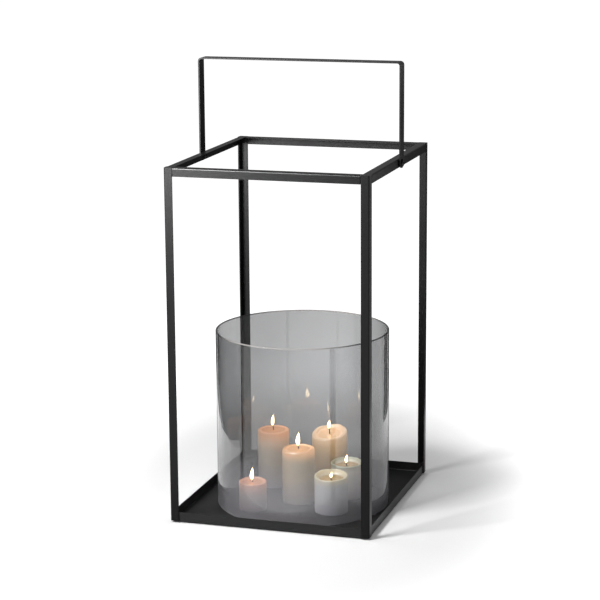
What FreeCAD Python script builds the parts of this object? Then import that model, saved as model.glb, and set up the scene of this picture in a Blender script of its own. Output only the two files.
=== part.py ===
import FreeCAD, Part
import math
import os
import Sketcher

# Floor lantern: an open steel frame that stands on a shallow tray, a carrying bail pivoted on the
# side rails, and a smoked glass cylinder with six candles inside it on the tray.
# Frame of the part: +Z up, the origin on the floor under the middle of the frame, +X to the right
# and the front towards -Y. All sizes are millimetres.

os.makedirs("parts", exist_ok=True)
doc = FreeCAD.newDocument("FloorLantern")


# ---------------------------------------------------------------- driving sizes

SIZES = [
    ("frame_width", 350.0, "outside width over the posts"),
    ("frame_depth", 394.0, "outside depth over the posts"),
    ("frame_height", 609.0, "floor to the top of the frame"),
    ("bar_leg", 14.6, "leg of the folded steel angle"),
    ("bar_wall", 2.0, "wall of the folded steel angle"),
    ("bar_bend", 2.4, "outside radius of the fold"),
    ("weld_gap", 1.2, "groove between a post and the end of a rail's upright leg"),
    ("weld_recess", 0.7, "depth of the weld bead below the outer face"),
    ("pad_diameter", 20.0, "felt pad under the tray"),
    ("pad_thickness", 1.2, "felt pad, pressed flat"),
    ("pad_inset", 14.0, "tray edge to the middle of a pad"),
    ("post_lift", 2.0, "height of the post ends above the underside of the tray"),
    ("tray_rim", 17.0, "height of the folded tray"),
    ("tray_wall", 1.5, "sheet thickness of the tray"),
    ("tray_corner", 3.0, "outside radius of the tray's upright corners"),
    ("tray_bend", 2.5, "outside radius of the tray's bottom folds"),
    ("handle_rise", 169.4, "pivot axis to the top of the bail"),
    ("strip_width", 24.4, "width of the bail's flat strip"),
    ("strip_wall", 2.4, "thickness of the bail's flat strip"),
    ("strip_bend", 6.4, "outside radius of the bail's two bends"),
    ("tip_reach", 9.0, "pivot axis to the lower tip of an arm"),
    ("strip_tip_flat", 0.6, "flat left at the rounded tip of an arm"),
    ("flange_diameter", 14.0, "flange of the pivot bush, between rail and arm"),
    ("flange_wall", 0.8, "thickness of the bush flange"),
    ("side_play", 0.3, "running gap on each side of an arm"),
    ("sleeve_diameter", 7.0, "sleeve of the pivot bush, inside the arm's hole"),
    ("sleeve_clearance", 0.1, "radial running clearance of arm on sleeve"),
    ("screw_diameter", 5.0, "shank of the pivot screw"),
    ("screw_clearance", 0.1, "radial clearance of the screw in bush and rail"),
    ("thread_clearance", 0.05, "radial clearance of the screw in its nut"),
    ("head_diameter", 12.6, "button head of the pivot screw"),
    ("head_height", 2.4, "button head of the pivot screw"),
    ("head_rounding", 1.9, "rounding of the button head"),
    ("socket_flats", 4.0, "hexagon socket across flats"),
    ("socket_depth", 1.3, "hexagon socket"),
    ("nut_flats", 8.0, "pivot nut across flats"),
    ("nut_height", 4.0, "pivot nut"),
    ("screw_tail", 1.0, "screw end standing out of the nut"),
    ("glass_diameter", 299.0, "outside of the glass cylinder"),
    ("glass_height", 308.0, "glass cylinder"),
    ("glass_wall", 3.0, "wall of the glass cylinder"),
    ("glass_edge", 1.3, "rounding of the fire-polished edges"),
    ("glass_x", 8.9, "middle of the glass, right of the frame's middle"),
    ("glass_y", -25.5, "middle of the glass, in front of the frame's middle"),
    ("seat_gap", 0.3, "gap under a piece that only stands on the tray"),
    ("candle_clearance", 3.0, "least room between a candle and the glass"),
    ("wick_diameter", 1.8, "cotton wick"),
    ("wick_clearance", 0.1, "radial clearance of the wick in the wax"),
    ("wick_length", 7.0, "wick standing out of the wax"),
    ("wick_base", 4.0, "wax under the wick's lower end"),
    ("wax_edge", 1.6, "rounding of a candle's upper edge"),
    ("wax_foot", 1.0, "rounding of a candle's lower edge"),
]

# Six used pillar candles. Columns: direction and distance from the middle of the glass, diameter,
# height of the highest edge, drop of the edge towards its melted side, direction of that side, width
# of the edge left round the pool, and depth of the pool under the lowest edge.
CANDLE_COLUMNS = ("direction", "distance", "diameter", "height", "drop", "melted_side", "edge", "pool")
CANDLES = {
    "back_left": (136.8, 106.4, 55.6, 103.0, 1.0, 280.0, 5.0, 1.5),
    "centre": (234.1, 10.2, 56.8, 98.0, 2.0, 250.0, 5.0, 2.0),
    "back_right": (75.6, 90.3, 62.2, 110.0, 14.0, 262.0, 8.0, 3.5),
    "right": (32.3, 79.1, 56.0, 64.5, 4.0, 285.0, 3.5, 7.0),
    "front_right": (323.7, 80.2, 57.6, 68.5, 6.0, 285.0, 4.0, 7.5),
    "front_left": (225.8, 99.7, 47.8, 51.5, 3.0, 290.0, 3.5, 3.0),
}

for candle, numbers in CANDLES.items():
    for column, number in zip(CANDLE_COLUMNS, numbers):
        SIZES.append((f"{candle}_{column}", number, f"{candle} candle, {column}"))

sheet = doc.addObject("Spreadsheet::Sheet", "Sizes")
for row, (alias, number, meaning) in enumerate(SIZES, start=1):
    sheet.set(f"A{row}", meaning)
    sheet.set(f"B{row}", str(number))
    sheet.setAlias(f"B{row}", alias)
doc.recompute()


# ---------------------------------------------------------------- formulas that several pieces share

def cell(alias):
    """The expression that reads one driving size."""
    return f"Sizes.{alias}"


HALF_WIDTH = "Sizes.frame_width / 2"
HALF_DEPTH = "Sizes.frame_depth / 2"
LEG = cell("bar_leg")
WALL = cell("bar_wall")
PIVOT_HEIGHT = "Sizes.frame_height - Sizes.bar_leg / 2"
POST_FOOT = "Sizes.pad_thickness + Sizes.post_lift"
TRAY_FLOOR = "Sizes.pad_thickness + Sizes.tray_wall"
STANDING_HEIGHT = f"{TRAY_FLOOR} + Sizes.seat_gap"
ARM_INSIDE = "(Sizes.flange_wall + Sizes.side_play)"
ARM_OUTSIDE = f"({ARM_INSIDE} + Sizes.strip_wall)"
HEAD_SEAT = f"({ARM_OUTSIDE} + Sizes.side_play)"
TIP_REACH = cell("tip_reach")
SHANK_HOLE = "(Sizes.screw_diameter / 2 + Sizes.screw_clearance)"


# ---------------------------------------------------------------- helpers

def minus(formula):
    """The formula with its sign turned."""
    return f"-({formula})"


def value(formula):
    """The number that a formula gives now."""
    return float(sheet.evalExpression(formula))


def new_body(name):
    """An empty body whose label is the name of its node."""
    body = doc.addObject("PartDesign::Body", name)
    body.Label = name
    return body


def new_sketch(body, role, name, height=None):
    """A sketch on one of the body's own origin planes, lifted off it by a formula if one is given."""
    plane = next(item for item in body.Origin.OriginFeatures if item.Role == role)
    sketch = body.newObject("Sketcher::SketchObject", name)
    sketch.AttachmentSupport = [(plane, "")]
    sketch.MapMode = "FlatFace"
    if height is not None:
        sketch.setExpression("AttachmentOffset.Base.z", height)
    return sketch


def bind(sketch, kind, geometry, formula):
    """One distance, radius or diameter constraint held to a formula."""
    number = sketch.addConstraint(Sketcher.Constraint(kind, *geometry, value(formula)))
    sketch.setExpression(f"Constraints[{number}]", formula)


def add_outline(sketch, corners):
    """A closed outline of straight lines, each corner held to two formulas."""
    points = [FreeCAD.Vector(value(x), value(y), 0) for x, y in corners]
    following = points[1:] + points[:1]
    first = sketch.GeometryCount
    lines = [Part.LineSegment(start, end) for start, end in zip(points, following)]
    sketch.addGeometry(lines)
    for step in range(len(lines)):
        this_line = first + step
        next_line = first + (step + 1) % len(lines)
        sketch.addConstraint(Sketcher.Constraint("Coincident", this_line, 2, next_line, 1))
    for step, (x, y) in enumerate(corners):
        bind(sketch, "DistanceX", (-1, 1, first + step, 1), x)
        bind(sketch, "DistanceY", (-1, 1, first + step, 1), y)


def add_circle(sketch, radius, x="0", y="0"):
    """A circle whose centre and radius are held to formulas."""
    centre = FreeCAD.Vector(value(x), value(y), 0)
    number = sketch.addGeometry(Part.Circle(centre, FreeCAD.Vector(0, 0, 1), value(radius)))
    bind(sketch, "DistanceX", (-1, 1, number, 3), x)
    bind(sketch, "DistanceY", (-1, 1, number, 3), y)
    bind(sketch, "Radius", (number,), radius)


def add_hexagon(sketch, flats):
    """A regular hexagon round the origin, from its width across flats."""
    corners = []
    for step in range(6):
        turn = 60 * step + 30
        reach = f"({flats}) / 2 / cos(30 deg)"
        corners.append((f"{reach} * cos({turn} deg)", f"{reach} * sin({turn} deg)"))
    add_outline(sketch, corners)


def pad(body, sketch, name, length, both_ways=False):
    """A sketch drawn out to a length, along its normal or evenly to both sides."""
    feature = body.newObject("PartDesign::Pad", name)
    feature.Profile = sketch
    feature.setExpression("Length", length)
    if both_ways:
        feature.SideType = "Symmetric"
    doc.recompute()
    return feature


def cut_through(body, sketch, name):
    """A sketch cut through the whole body, to both sides of its plane."""
    before = body.Shape.Volume
    feature = body.newObject("PartDesign::Pocket", name)
    feature.Profile = sketch
    feature.Type = "ThroughAll"
    feature.SideType = "Symmetric"
    doc.recompute()
    if not body.Shape.Volume < before:
        raise RuntimeError(f"{name} cuts nothing")
    return feature


def cut_down(body, sketch, name, depth):
    """A sketch cut against its normal to a depth."""
    before = body.Shape.Volume
    feature = body.newObject("PartDesign::Pocket", name)
    feature.Profile = sketch
    feature.Type = "Length"
    feature.setExpression("Length", depth)
    doc.recompute()
    if not body.Shape.Volume < before:
        raise RuntimeError(f"{name} cuts nothing")
    return feature


def turn_round(body, sketch, name):
    """A half section in the XZ plane turned once round the body's own Z axis."""
    axis = next(item for item in body.Origin.OriginFeatures if item.Role == "Z_Axis")
    feature = body.newObject("PartDesign::Revolution", name)
    feature.Profile = sketch
    feature.ReferenceAxis = (axis, [""])
    feature.Angle = 360
    doc.recompute()
    return feature


def round_edges(body, base, name, radius, chosen):
    """A fillet on every edge of the base feature that the test picks."""
    names = [f"Edge{number}" for number, edge in enumerate(base.Shape.Edges, start=1) if chosen(edge)]
    if not names:
        raise RuntimeError(f"{name} finds no edge")
    feature = body.newObject("PartDesign::Fillet", name)
    feature.Base = (base, names)
    feature.setExpression("Radius", radius)
    doc.recompute()
    return feature


def close(first, second):
    """True where two lengths agree."""
    return abs(first - second) < 1e-4


def place(body, x, y, z, turn=0.0, axis=(0, 0, 1)):
    """Puts a body at three formulas, turned by an angle about an axis."""
    body.Placement = FreeCAD.Placement(FreeCAD.Vector(0, 0, 0),
                                       FreeCAD.Rotation(FreeCAD.Vector(*axis), turn))
    body.setExpression("Placement.Base.x", x)
    body.setExpression("Placement.Base.y", y)
    body.setExpression("Placement.Base.z", z)


def runs_along(edge, axis):
    """True for a straight edge that is parallel to an axis."""
    if not isinstance(edge.Curve, Part.Line):
        return False
    return abs(abs(edge.Curve.Direction.dot(FreeCAD.Vector(*axis))) - 1) < 1e-6


# ---------------------------------------------------------------- frame: posts

def make_post(name, x, y, turn):
    """A folded angle that stands upright with its fold outwards and the ends cut square."""
    body = new_body(name)
    section = new_sketch(body, "XY_Plane", name + "_section")
    add_outline(section, [("0", "0"), (LEG, "0"), (LEG, WALL), (WALL, WALL), (WALL, LEG), ("0", LEG)])
    bar = pad(body, section, name + "_bar", f"Sizes.frame_height - ({POST_FOOT})")

    def outer_fold(edge):
        middle = edge.CenterOfMass
        return runs_along(edge, (0, 0, 1)) and close(middle.x, 0) and close(middle.y, 0)

    round_edges(body, bar, name + "_fold", cell("bar_bend"), outer_fold)
    place(body, x, y, POST_FOOT, turn)
    return body


POSTS = {
    "post_front_left": (minus(HALF_WIDTH), minus(HALF_DEPTH), 0),
    "post_front_right": (HALF_WIDTH, minus(HALF_DEPTH), 90),
    "post_back_right": (HALF_WIDTH, HALF_DEPTH, 180),
    "post_back_left": (minus(HALF_WIDTH), HALF_DEPTH, 270),
}
bodies = [make_post(name, *spot) for name, spot in POSTS.items()]


# ---------------------------------------------------------------- frame: top rails

def make_rail(name, x, y, turn, span, has_pivot):
    """A folded angle along the top: one leg flat inwards, one leg down outside.

    The upright leg is coped back to leave the weld groove beside each post, and the flat leg runs
    on between the posts to meet its neighbours in a mitre.
    """
    body = new_body(name)
    section = new_sketch(body, "YZ_Plane", name + "_section")
    add_outline(section, [("0", "0"), (LEG, "0"), (LEG, minus(WALL)), (WALL, minus(WALL)),
                          (WALL, minus(LEG)), ("0", minus(LEG))])
    bar = pad(body, section, name + "_bar", f"{span} - 2 * {WALL}", both_ways=True)

    def outer_fold(edge):
        middle = edge.CenterOfMass
        return runs_along(edge, (1, 0, 0)) and close(middle.y, 0) and close(middle.z, 0)

    round_edges(body, bar, name + "_fold", cell("bar_bend"), outer_fold)
    ends = new_sketch(body, "XY_Plane", name + "_ends")
    beyond = f"({span} / 2 + {WALL})"
    groove = f"({span} / 2 - {LEG} - Sizes.weld_gap)"
    inner_corner = f"({span} / 2 - {WALL})"
    mitre_end = f"({span} / 2 - {LEG} - {WALL})"
    over = f"({LEG} + {WALL})"
    for sign in ("", "-"):
        add_outline(ends, [(sign + beyond, minus(WALL)), (sign + groove, minus(WALL)),
                           (sign + groove, WALL), (sign + inner_corner, WALL),
                           (sign + mitre_end, over), (sign + beyond, over)])
    cut_through(body, ends, name + "_cope")
    if has_pivot:
        hole = new_sketch(body, "XZ_Plane", name + "_pivot")
        add_circle(hole, SHANK_HOLE, "0", f"-{LEG} / 2")
        cut_through(body, hole, name + "_pivot_hole")
    place(body, x, y, cell("frame_height"), turn)
    return body


RAILS = {
    "top_rail_front": ("0", minus(HALF_DEPTH), 0, cell("frame_width"), False),
    "top_rail_right": (HALF_WIDTH, "0", 90, cell("frame_depth"), True),
    "top_rail_back": ("0", HALF_DEPTH, 180, cell("frame_width"), False),
    "top_rail_left": (minus(HALF_WIDTH), "0", 270, cell("frame_depth"), True),
}
bodies += [make_rail(name, *spot) for name, spot in RAILS.items()]


# ---------------------------------------------------------------- frame: weld beads

def make_beads():
    """The eight upright beads that fill the grooves between posts and rails, a little below the face."""
    across = f"({LEG} + Sizes.weld_gap / 2)"
    beads = []
    for side, (corner_x, corner_y, turn) in POSTS.items():
        for along_x in (True, False):
            bead = doc.addObject("Part::Box", f"bead_{side}_{'x' if along_x else 'y'}")
            length, width = ("Length", "Width") if along_x else ("Width", "Length")
            bead.setExpression(length, cell("weld_gap"))
            bead.setExpression(width, f"{WALL} - Sizes.weld_recess")
            bead.setExpression("Height", LEG)
            sign_x = -1 if corner_x == HALF_WIDTH else 1
            sign_y = -1 if corner_y == HALF_DEPTH else 1
            reach = f"({across} - Sizes.weld_gap / 2)" if along_x else "Sizes.weld_recess"
            rise = "Sizes.weld_recess" if along_x else f"({across} - Sizes.weld_gap / 2)"
            thin, deep = cell("weld_gap"), f"({WALL} - Sizes.weld_recess)"
            back_x = "0" if sign_x > 0 else (thin if along_x else deep)
            back_y = "0" if sign_y > 0 else (deep if along_x else thin)
            bead.setExpression("Placement.Base.x", f"{corner_x} + {sign_x} * {reach} - {back_x}")
            bead.setExpression("Placement.Base.y", f"{corner_y} + {sign_y} * {rise} - {back_y}")
            bead.setExpression("Placement.Base.z", f"Sizes.frame_height - {LEG}")
            beads.append(bead)
    group = doc.addObject("Part::Compound", "weld_beads")
    group.Label = "weld_beads"
    group.Links = beads
    return group


bodies.append(make_beads())


# ---------------------------------------------------------------- tray and its pads

def make_tray():
    """A sheet folded up on four sides that nests inside the four posts."""
    body = new_body("base_tray")
    outline = new_sketch(body, "XY_Plane", "tray_outline")
    reach_x = f"({HALF_WIDTH} - {WALL})"
    reach_y = f"({HALF_DEPTH} - {WALL})"
    add_outline(outline, [("-" + reach_x, "-" + reach_y), (reach_x, "-" + reach_y),
                          (reach_x, reach_y), ("-" + reach_x, reach_y)])
    block = pad(body, outline, "tray_block", cell("tray_rim"))
    corners = round_edges(body, block, "tray_corners", cell("tray_corner"),
                          lambda edge: runs_along(edge, (0, 0, 1)))
    folded = round_edges(body, corners, "tray_folds", cell("tray_bend"),
                         lambda edge: close(edge.BoundBox.ZMax, 0))
    shell = body.newObject("PartDesign::Thickness", "tray_shell")
    top = next(f"Face{number}" for number, face in enumerate(folded.Shape.Faces, start=1)
               if close(face.BoundBox.ZMin, value(cell("tray_rim"))))
    shell.Base = (folded, [top])
    shell.Reversed = True
    shell.setExpression("Value", cell("tray_wall"))
    doc.recompute()
    place(body, "0", "0", cell("pad_thickness"))
    return body


def make_pads():
    """Four felt discs under the corners of the tray."""
    reach_x = f"({HALF_WIDTH} - {WALL} - Sizes.pad_inset)"
    reach_y = f"({HALF_DEPTH} - {WALL} - Sizes.pad_inset)"
    pads = []
    for sign_x in ("", "-"):
        for sign_y in ("", "-"):
            disc = doc.addObject("Part::Cylinder", "pad_disc")
            disc.setExpression("Radius", "Sizes.pad_diameter / 2")
            disc.setExpression("Height", cell("pad_thickness"))
            disc.setExpression("Placement.Base.x", sign_x + reach_x)
            disc.setExpression("Placement.Base.y", sign_y + reach_y)
            pads.append(disc)
    group = doc.addObject("Part::Compound", "felt_pads")
    group.Label = "felt_pads"
    group.Links = pads
    return group


bodies += [make_tray(), make_pads()]


# ---------------------------------------------------------------- carrying bail

def make_bail():
    """A flat strip bent twice: two arms that hang outside the side rails, and the grip between them."""
    body = new_body("handle_bail")
    outside = f"({HALF_WIDTH} + {ARM_OUTSIDE})"
    inside = f"({HALF_WIDTH} + {ARM_INSIDE})"
    top = cell("handle_rise")
    under = "(Sizes.handle_rise - Sizes.strip_wall)"
    tip = minus(TIP_REACH)
    shape = new_sketch(body, "XZ_Plane", "bail_shape")
    add_outline(shape, [("-" + outside, tip), ("-" + inside, tip), ("-" + inside, under),
                        (inside, under), (inside, tip), (outside, tip), (outside, top),
                        ("-" + outside, top)])
    strip = pad(body, shape, "bail_strip", cell("strip_width"), both_ways=True)

    def outer_bend(edge):
        return runs_along(edge, (0, 1, 0)) and close(edge.CenterOfMass.z, value(top))

    def inner_bend(edge):
        return runs_along(edge, (0, 1, 0)) and close(edge.CenterOfMass.z, value(under))

    def arm_corner(edge):
        return runs_along(edge, (1, 0, 0)) and close(edge.CenterOfMass.z, value(tip))

    bent = round_edges(body, strip, "outer_bends", cell("strip_bend"), outer_bend)
    bent = round_edges(body, bent, "inner_bends", "Sizes.strip_bend - Sizes.strip_wall", inner_bend)
    round_edges(body, bent, "arm_tips", "(Sizes.strip_width - Sizes.strip_tip_flat) / 2", arm_corner)
    holes = new_sketch(body, "YZ_Plane", "bail_pivot")
    add_circle(holes, "Sizes.sleeve_diameter / 2 + Sizes.sleeve_clearance")
    cut_through(body, holes, "bail_pivot_holes")
    place(body, "0", "0", PIVOT_HEIGHT)
    return body


bodies.append(make_bail())


# ---------------------------------------------------------------- pivots

# Each pivot is built along its own +Z axis, which points outwards, with zero at the rail's outer face.
PIVOT_SIDES = {
    "left": (minus(HALF_WIDTH), -90),
    "right": (HALF_WIDTH, 90),
}


def place_pivot(body, side):
    """Lays a pivot piece down so that its axis points out of the side rail."""
    x, turn = PIVOT_SIDES[side]
    place(body, x, "0", PIVOT_HEIGHT, turn, (0, 1, 0))


def make_bush(side):
    """A flanged bush: the flange keeps the arm off the rail and the sleeve carries the arm."""
    body = new_body(f"pivot_bush_{side}")
    section = new_sketch(body, "XZ_Plane", f"bush_section_{side}")
    flange = "Sizes.flange_diameter / 2"
    sleeve = "Sizes.sleeve_diameter / 2"
    thickness = cell("flange_wall")
    add_outline(section, [(SHANK_HOLE, "0"), (flange, "0"), (flange, thickness), (sleeve, thickness),
                          (sleeve, HEAD_SEAT), (SHANK_HOLE, HEAD_SEAT)])
    turn_round(body, section, f"bush_turned_{side}")
    place_pivot(body, side)
    return body


def make_screw(side):
    """A button-head screw with a hexagon socket, through bush, rail and nut."""
    body = new_body(f"pivot_screw_{side}")
    section = new_sketch(body, "XZ_Plane", f"screw_section_{side}")
    shank = "Sizes.screw_diameter / 2"
    head = "Sizes.head_diameter / 2"
    crown = f"({HEAD_SEAT} + Sizes.head_height)"
    end = minus(f"{WALL} + Sizes.nut_height + Sizes.screw_tail")
    add_outline(section, [("0", end), (shank, end), (shank, HEAD_SEAT), (head, HEAD_SEAT),
                          (head, crown), ("0", crown)])
    turned = turn_round(body, section, f"screw_turned_{side}")

    def crown_edge(edge):
        return close(edge.BoundBox.ZMin, value(crown)) and close(edge.BoundBox.ZMax, value(crown))

    round_edges(body, turned, f"screw_crown_{side}", cell("head_rounding"), crown_edge)
    socket = new_sketch(body, "XY_Plane", f"socket_outline_{side}", crown)
    add_hexagon(socket, cell("socket_flats"))
    cut_down(body, socket, f"socket_{side}", cell("socket_depth"))
    place_pivot(body, side)
    return body


def make_nut(side):
    """A hexagon nut behind the rail's upright leg."""
    body = new_body(f"pivot_nut_{side}")
    outline = new_sketch(body, "XY_Plane", f"nut_outline_{side}", minus(f"{WALL} + Sizes.nut_height"))
    add_hexagon(outline, cell("nut_flats"))
    add_circle(outline, "Sizes.screw_diameter / 2 + Sizes.thread_clearance")
    pad(body, outline, f"nut_block_{side}", cell("nut_height"))
    place_pivot(body, side)
    return body


for side in PIVOT_SIDES:
    bodies += [make_bush(side), make_screw(side), make_nut(side)]


# ---------------------------------------------------------------- glass cylinder

def make_glass():
    """An open glass cylinder with rounded edges, a little off the middle of the tray."""
    body = new_body("glass_cylinder")
    ring = new_sketch(body, "XY_Plane", "glass_ring")
    add_circle(ring, "Sizes.glass_diameter / 2")
    add_circle(ring, "Sizes.glass_diameter / 2 - Sizes.glass_wall")
    wall = pad(body, ring, "glass_wall", cell("glass_height"))

    def end_edge(edge):
        return close(edge.BoundBox.ZMin, edge.BoundBox.ZMax)

    round_edges(body, wall, "glass_edges", cell("glass_edge"), end_edge)
    place(body, cell("glass_x"), cell("glass_y"), STANDING_HEIGHT)
    return body


bodies.append(make_glass())


# ---------------------------------------------------------------- candles and wicks

def make_candle(candle):
    """A used pillar candle: its edge slopes down to the melted side round a shallow pool."""
    body = new_body(f"candle_{candle}")

    def own(column):
        return cell(f"{candle}_{column}")

    radius = f"{own('diameter')} / 2"
    lowest = f"({own('height')} - {own('drop')})"
    room = f"(Sizes.glass_diameter / 2 - Sizes.glass_wall - {radius} - Sizes.candle_clearance)"
    distance = f"min({own('distance')}; {room})"
    x = f"Sizes.glass_x + {distance} * cos({own('direction')} * 1 deg)"
    y = f"Sizes.glass_y + {distance} * sin({own('direction')} * 1 deg)"
    pool_radius = f"({radius} - {own('edge')})"
    pool_floor = f"({lowest} - {own('pool')})"
    disc = new_sketch(body, "XY_Plane", f"outline_{candle}")
    add_circle(disc, radius)
    block = pad(body, disc, f"wax_{candle}", own("height"))
    if value(own("drop")) > 0:
        slope = new_sketch(body, "XZ_Plane", f"slope_{candle}")
        above = f"({own('height')} + {own('drop')})"
        add_outline(slope, [(minus(radius), own("height")), (radius, lowest), (radius, above),
                            (minus(radius), above)])
        block = cut_through(body, slope, f"melted_{candle}")

    def top_edge(edge):
        return edge.BoundBox.ZMin > value(lowest) - 1e-3

    block = round_edges(body, block, f"edge_{candle}", cell("wax_edge"), top_edge)
    round_edges(body, block, f"foot_{candle}", cell("wax_foot"),
                lambda edge: close(edge.BoundBox.ZMax, 0))
    pool = new_sketch(body, "XY_Plane", f"pool_outline_{candle}", own("height"))
    add_circle(pool, pool_radius)
    cut_down(body, pool, f"pool_{candle}", f"{own('drop')} + {own('pool')}")
    bore = new_sketch(body, "XY_Plane", f"bore_outline_{candle}", own("height"))
    add_circle(bore, "Sizes.wick_diameter / 2 + Sizes.wick_clearance")
    cut_down(body, bore, f"bore_{candle}", f"{own('height')} - Sizes.wick_base")
    place(body, x, y, STANDING_HEIGHT, value(own("melted_side")))

    wick = new_body(f"wick_{candle}")
    round_section = new_sketch(wick, "XY_Plane", f"wick_outline_{candle}", cell("wick_base"))
    add_circle(round_section, "Sizes.wick_diameter / 2")
    pad(wick, round_section, f"wick_cord_{candle}", f"{pool_floor} + Sizes.wick_length - Sizes.wick_base")
    place(wick, x, y, STANDING_HEIGHT)
    return [body, wick]


for candle in CANDLES:
    bodies += make_candle(candle)


# ---------------------------------------------------------------- checks and export

doc.recompute()
for item in doc.Objects:
    if "Invalid" in item.State or "Error" in item.State:
        raise RuntimeError(f"{item.Label} did not compute: {item.State}")
for body in bodies:
    if body.Shape.isNull() or not body.Shape.isValid():
        raise RuntimeError(f"{body.Label} has no valid shape")
for body in bodies:
    body.Shape.exportStep(f"parts/{body.Label}.step")
    print(f"{body.Label}: {len(body.Shape.Solids)} solid(s), {body.Shape.Volume / 1000:.2f} cm3")
print(f"{len(bodies)} nodes written")
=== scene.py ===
# %% [markdown]
# # A candle lantern for the floor
# The lantern is an open frame of black folded angle on a shallow tray. A flat steel handle turns on
# two screws in the side rails. A cylinder of smoke-grey glass stands loose on the tray, with six used
# pillar candles burning inside it.
# The steel parts come finished from the CAD model, at their real size, and get their paint here. What
# heat and use have shaped is modelled here: wax that has melted, wicks that have burnt, flames,
# welded joints, felt and the smooth glass.

# %% Load the imported lantern
import math

import bmesh
import bpy
from mathutils import Matrix, Quaternion, Vector, noise


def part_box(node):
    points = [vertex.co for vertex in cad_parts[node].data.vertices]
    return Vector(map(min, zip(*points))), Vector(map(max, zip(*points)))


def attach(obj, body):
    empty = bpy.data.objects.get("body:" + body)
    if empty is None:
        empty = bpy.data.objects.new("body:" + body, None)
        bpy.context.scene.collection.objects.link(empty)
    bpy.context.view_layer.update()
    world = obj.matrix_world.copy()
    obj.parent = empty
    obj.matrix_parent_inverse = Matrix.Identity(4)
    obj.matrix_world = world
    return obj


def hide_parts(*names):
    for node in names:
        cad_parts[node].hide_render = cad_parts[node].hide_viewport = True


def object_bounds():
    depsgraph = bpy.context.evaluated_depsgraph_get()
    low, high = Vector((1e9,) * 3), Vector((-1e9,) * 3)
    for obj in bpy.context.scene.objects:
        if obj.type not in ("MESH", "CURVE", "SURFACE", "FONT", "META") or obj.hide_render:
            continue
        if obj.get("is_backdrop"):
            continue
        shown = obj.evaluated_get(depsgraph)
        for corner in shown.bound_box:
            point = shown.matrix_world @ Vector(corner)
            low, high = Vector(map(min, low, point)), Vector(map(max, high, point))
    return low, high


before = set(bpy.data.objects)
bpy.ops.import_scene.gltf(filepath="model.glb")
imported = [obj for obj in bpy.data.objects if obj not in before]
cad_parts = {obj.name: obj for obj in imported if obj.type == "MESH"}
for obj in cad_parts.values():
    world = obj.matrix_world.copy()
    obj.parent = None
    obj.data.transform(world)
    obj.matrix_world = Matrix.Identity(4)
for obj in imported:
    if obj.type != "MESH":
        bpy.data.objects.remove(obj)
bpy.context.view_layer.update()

MM = 0.001

# %% [markdown]
# ## The camera
# The camera stands a little to the right of the front and looks down at the lantern, from far enough
# away that the upright posts stay nearly parallel. A long lens does that: the further the camera, the
# longer the lens that fills the same frame. A small roll tips the picture by under half a degree.

# %% Camera
CAMERA_PLACE = Vector((1.01889, -3.31220, 1.11626))
CAMERA_TARGET = Vector((-0.002816, 0.0, 0.355114))
CAMERA_ROLL = math.radians(-0.404)
CAMERA_LENS = 123.085


def add_camera():
    """A camera at that place, aimed by its quaternion, with a little roll."""
    data = bpy.data.cameras.new("camera")
    data.sensor_width = 36.0
    data.lens = CAMERA_LENS
    data.clip_end = 100.0
    camera = bpy.data.objects.new("camera", data)
    bpy.context.scene.collection.objects.link(camera)
    aim = (CAMERA_TARGET - CAMERA_PLACE).to_track_quat("-Z", "Y")
    camera.rotation_mode = "QUATERNION"
    camera.rotation_quaternion = aim @ Quaternion((0, 0, 1), CAMERA_ROLL)
    camera.location = CAMERA_PLACE
    bpy.context.scene.camera = camera


add_camera()
print("camera distance, metres:", round((CAMERA_TARGET - CAMERA_PLACE).length, 3))

# %% [markdown]
# ## Writing a material like a formula
# A material is a graph of nodes, and a graph is slow to read. So an output of a node is wrapped in a
# small class with Python's own operators: `0.4 + grain * 0.1` adds the two Math nodes that it says.


# %% Wires
class Wire:
    """One output of a node. Python's operators turn it into Math nodes."""

    def __init__(self, finish, socket):
        self.finish = finish
        self.socket = socket

    def __add__(self, other):
        return self.finish.maths("ADD", self, other)

    def __sub__(self, other):
        return self.finish.maths("SUBTRACT", self, other)

    def __rsub__(self, other):
        return self.finish.maths("SUBTRACT", other, self)

    def __mul__(self, other):
        return self.finish.maths("MULTIPLY", self, other)

    def __truediv__(self, other):
        return self.finish.maths("DIVIDE", self, other)

    def __pow__(self, other):
        return self.finish.maths("POWER", self, other)

    __radd__ = __add__
    __rmul__ = __mul__


print("wires can be added, taken away, multiplied, divided and raised to a power")

# %% [markdown]
# ## One class for a finish
# Blender's Principled shader is one recipe for paint, wax, felt and much else: only its numbers differ.
# This class keeps a material and its nodes together. Its node method takes any node's type, settings
# and inputs, and the shorter methods below it name what is needed often. Patterns are read from the
# place on the piece, in metres, so a grain of half a millimetre has that size on every piece, and no
# piece has to be unwrapped.


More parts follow.
